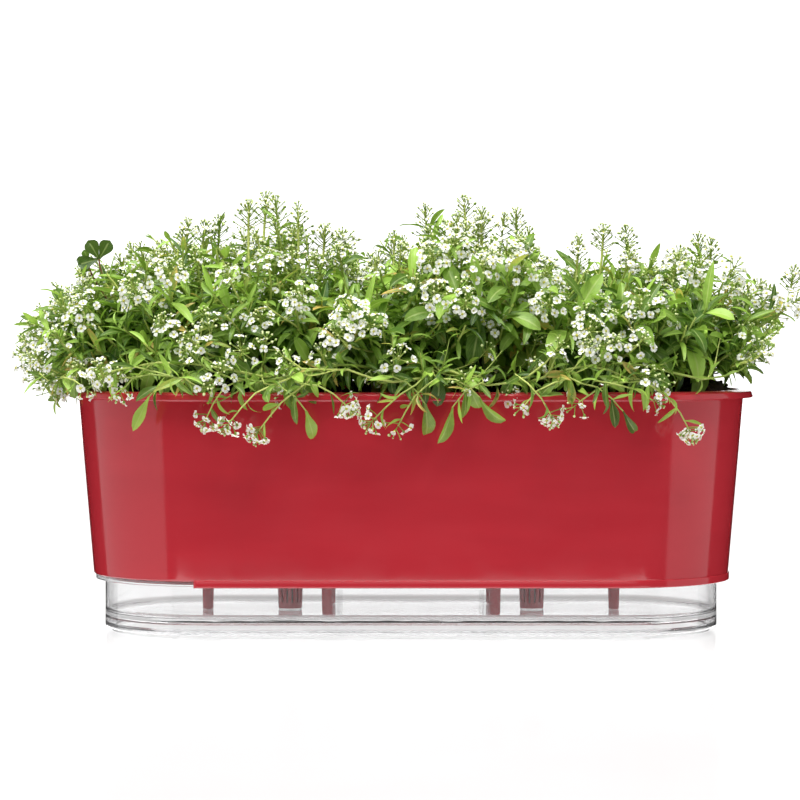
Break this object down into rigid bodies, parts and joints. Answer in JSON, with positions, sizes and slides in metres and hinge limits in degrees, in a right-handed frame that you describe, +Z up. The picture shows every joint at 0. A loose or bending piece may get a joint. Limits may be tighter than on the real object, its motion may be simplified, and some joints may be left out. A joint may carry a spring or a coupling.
{
  "type": "self watering planter",
  "caption": "Long oval window-box planter in glossy plastic on a clear water reservoir with legs and wicking wells, planted with white sweet alyssum.",
  "frame": {"origin": "middle of the footprint, on the surface that the planter stands on", "axes": "+X along the length away from the pouring notch, +Y to the back, +Z up"},
  "size_m": [0.498, 0.242, 0.266],
  "materials": {
    "clear_plastic": "gloss",
    "red_plastic": "gloss",
    "wick_fleece": "matte",
    "bark_compost": "matte",
    "root_ball": "matte",
    "alyssum_leaf": "satin",
    "alyssum_stem": "satin",
    "clover_leaf": "satin"
  },
  "bodies": {
    "reservoir": {"reservoir_tray": "clear_plastic"},
    "planter": {"planter_pot": "red_plastic", "wick_cup_left": "red_plastic", "wick_cup_right": "red_plastic", "wick_left": "wick_fleece", "wick_right": "wick_fleece", "growing_medium": "bark_compost", "root_ball_1": "root_ball", "root_ball_2": "root_ball", "root_ball_3": "root_ball", "root_ball_4": "root_ball", "root_ball_5": "root_ball", "alyssum_1": "alyssum_leaf", "alyssum_2": "alyssum_leaf", "alyssum_3": "alyssum_leaf", "alyssum_4": "alyssum_leaf", "alyssum_5": "alyssum_leaf", "trailing_stems_1": "alyssum_stem", "trailing_stems_2": "alyssum_stem", "trailing_stems_3": "alyssum_stem", "trailing_stems_4": "alyssum_stem", "trailing_stems_5": "alyssum_stem", "clover_weed": "clover_leaf"}
  },
  "joints": [
    {"name": "planter_lift", "type": "slide", "parent": "reservoir", "child": "planter", "axis": [0, 0, 1], "range_m": [0, 0.06]}
  ]
}
